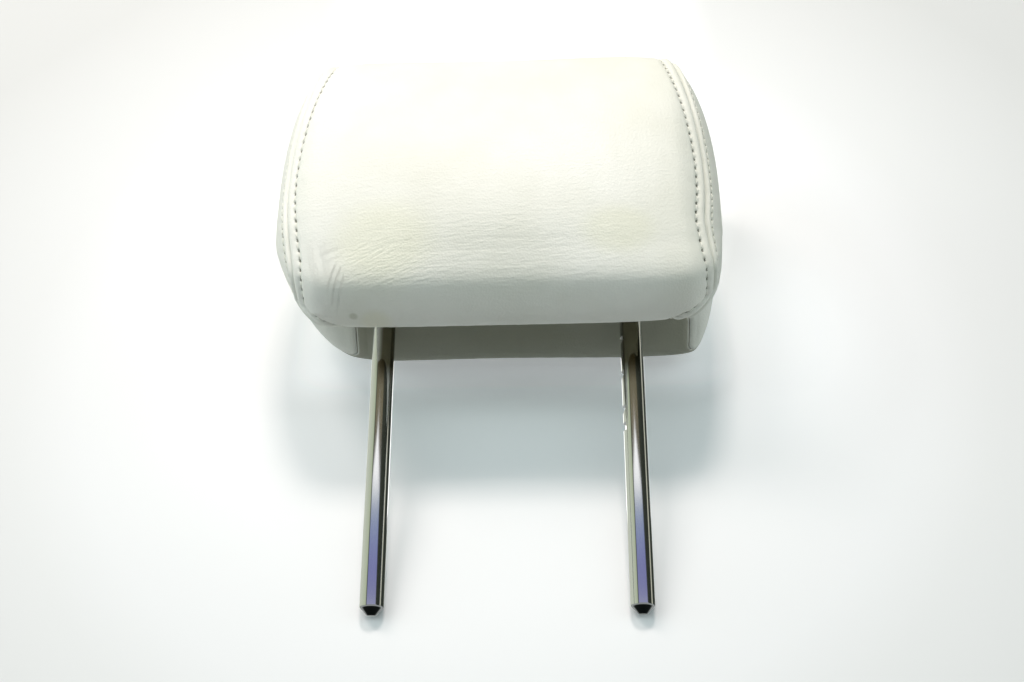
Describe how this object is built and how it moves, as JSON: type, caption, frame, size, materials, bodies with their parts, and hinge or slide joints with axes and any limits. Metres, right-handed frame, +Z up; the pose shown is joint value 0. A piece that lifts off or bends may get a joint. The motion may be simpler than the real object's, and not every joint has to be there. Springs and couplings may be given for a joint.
{
  "type": "car headrest",
  "caption": "Padded car headrest with a sewn cream cover over foam and a moulded core, on a bent steel stay whose two bare posts slide into a seat back.",
  "frame": {"origin": "midway between the ends of the two posts", "axes": "+Z up along the posts into the pad, +X across the pad, the face that the head meets looks towards -Y"},
  "size_m": [0.262, 0.1156, 0.336],
  "materials": {
    "leather": "cream grained leather cloth, satin",
    "seam_tape": "woven tape",
    "foam": "open-cell foam",
    "chrome": "polished",
    "core_plastic": "moulded",
    "hook_plastic": "extruded",
    "screw_steel": "zinc plated"
  },
  "bodies": {
    "root": {"stay_tube": "chrome", "core_front": "core_plastic", "core_rear": "core_plastic", "core_screw_1": "screw_steel", "core_screw_2": "screw_steel", "core_screw_3": "screw_steel", "core_screw_4": "screw_steel", "foam_pad": "foam", "cover_centre_panel": "leather", "cover_end_panel_left": "leather", "cover_end_panel_right": "leather", "seam_tape_left": "seam_tape", "seam_tape_right": "seam_tape", "closure_hook_front": "hook_plastic", "closure_hook_rear": "hook_plastic"}
  },
  "joints": []
}
